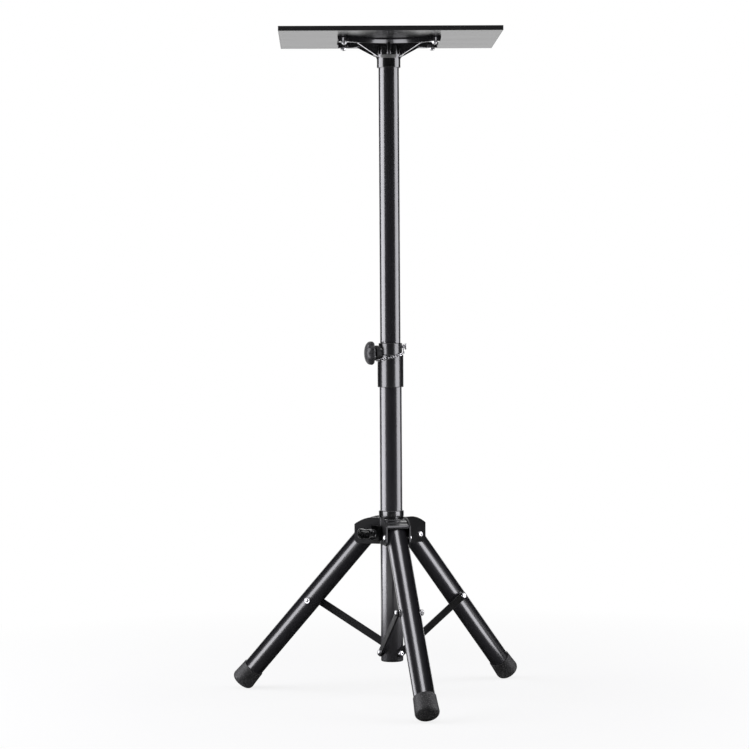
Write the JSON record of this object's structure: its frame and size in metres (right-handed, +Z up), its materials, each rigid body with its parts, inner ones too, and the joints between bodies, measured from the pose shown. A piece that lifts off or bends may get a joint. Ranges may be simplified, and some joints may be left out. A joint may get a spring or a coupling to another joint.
{
  "type": "portable projector stand",
  "caption": "Floor stand for a projector: a lipped tray on a telescopic tube mast with a clamping collar, over a folding tripod with flat struts.",
  "frame": {"origin": "on the column's axis, at the floor that the three feet stand on", "axes": "+Z up along the mast, +X along the tray's long edge to the right, -Y towards the front of the stand"},
  "size_m": [0.5016, 0.4805, 1.1243],
  "materials": {
    "gloss_black": "gloss black paint",
    "satin_black_sheet": "satin black powder coat",
    "black_plastic": "moulded, semi-gloss",
    "matte_black_steel": "matte black paint",
    "black_rubber": "matte",
    "chrome": "bright plated"
  },
  "bodies": {
    "column": {"lower_tube": "gloss_black", "column_plug": "black_plastic", "height_collar": "black_plastic", "lock_pin": "chrome", "pin_ring": "chrome", "chain_ring": "chrome", "pin_chain": "chrome"},
    "mast": {"upper_tube": "gloss_black"},
    "tray_head": {"tray": "satin_black_sheet", "tray_bracket": "black_plastic", "tray_screws": "chrome", "front_tray_edge": "satin_black_sheet", "rear_tray_edge": "satin_black_sheet", "left_tray_edge": "satin_black_sheet", "right_tray_edge": "satin_black_sheet"},
    "collar_knob": {"collar_knob": "black_plastic", "collar_stud": "chrome"},
    "hub": {"hub_sleeve": "black_plastic", "hub_knob_boss": "black_plastic", "front_hub_plate": "matte_black_steel", "right_hub_plate": "matte_black_steel", "left_hub_plate": "matte_black_steel", "front_pivot_bolt": "chrome", "right_pivot_bolt": "chrome", "left_pivot_bolt": "chrome"},
    "hub_knob": {"hub_knob": "black_plastic", "hub_stud": "chrome"},
    "front_leg": {"front_leg_tube": "gloss_black", "front_foot_cap": "black_rubber", "front_strut_bolt": "chrome"},
    "front_strut": {"front_strut": "matte_black_steel", "front_lower_bolt": "chrome"},
    "right_leg": {"right_leg_tube": "gloss_black", "right_foot_cap": "black_rubber", "right_strut_bolt": "chrome"},
    "right_strut": {"right_strut": "matte_black_steel", "right_lower_bolt": "chrome"},
    "left_leg": {"left_leg_tube": "gloss_black", "left_foot_cap": "black_rubber", "left_strut_bolt": "chrome"},
    "left_strut": {"left_strut": "matte_black_steel", "left_lower_bolt": "chrome"}
  },
  "joints": [
    {"name": "mast_slide", "type": "slide", "parent": "column", "child": "mast", "axis": [0, 0, -1], "range_m": [0, 0.416]},
    {"name": "tray_swivel", "type": "hinge", "parent": "mast", "child": "tray_head", "pos_m": [0, 0, 1.087], "axis": [0, 0, 1], "range_deg": [-180, 180]},
    {"name": "collar_knob_turn", "type": "hinge", "parent": "column", "child": "collar_knob", "pos_m": [-0.02592, -0.00551, 0.585], "axis": [-0.9781, -0.2079, 0], "range_deg": [0, 450]},
    {"name": "hub_slide", "type": "slide", "parent": "column", "child": "hub", "axis": [0, 0, 1], "range_m": [0, 0.11521]},
    {"name": "hub_knob_turn", "type": "hinge", "parent": "hub", "child": "hub_knob", "pos_m": [-0.03294, -0.02764, 0.27977], "axis": [-0.766, -0.6428, 0], "range_deg": [0, 450]},
    {"name": "front_leg_pivot", "type": "hinge", "parent": "hub", "child": "front_leg", "pos_m": [0.00808, -0.04579, 0.27377], "axis": [0.9848, 0.1736, 0], "range_deg": [0, 41.35]},
    {"name": "front_strut_pivot", "type": "hinge", "parent": "front_leg", "child": "front_strut", "pos_m": [0.0255, -0.14459, 0.15958], "axis": [0.9848, 0.1736, 0], "range_deg": [-84.99, 0]},
    {"name": "right_leg_pivot", "type": "hinge", "parent": "hub", "child": "right_leg", "pos_m": [0.03562, 0.02989, 0.27377], "axis": [-0.6428, 0.766, 0], "range_deg": [0, 41.35]},
    {"name": "right_strut_pivot", "type": "hinge", "parent": "right_leg", "child": "right_strut", "pos_m": [0.11247, 0.09437, 0.15958], "axis": [-0.6428, 0.766, 0], "range_deg": [-84.99, 0]},
    {"name": "left_leg_pivot", "type": "hinge", "parent": "hub", "child": "left_leg", "pos_m": [-0.0437, 0.0159, 0.27377], "axis": [-0.342, -0.9397, 0], "range_deg": [0, 41.35]},
    {"name": "left_strut_pivot", "type": "hinge", "parent": "left_leg", "child": "left_strut", "pos_m": [-0.13797, 0.05022, 0.15958], "axis": [-0.342, -0.9397, 0], "range_deg": [-84.99, 0]}
  ],
  "couplings": [
    {"joint": "front_leg_pivot", "follows": "hub_slide", "rad_per_m": 6.2566},
    {"joint": "front_strut_pivot", "follows": "hub_slide", "rad_per_m": -12.868},
    {"joint": "right_leg_pivot", "follows": "hub_slide", "rad_per_m": 6.2566},
    {"joint": "right_strut_pivot", "follows": "hub_slide", "rad_per_m": -12.868},
    {"joint": "left_leg_pivot", "follows": "hub_slide", "rad_per_m": 6.2566},
    {"joint": "left_strut_pivot", "follows": "hub_slide", "rad_per_m": -12.868}
  ]
}
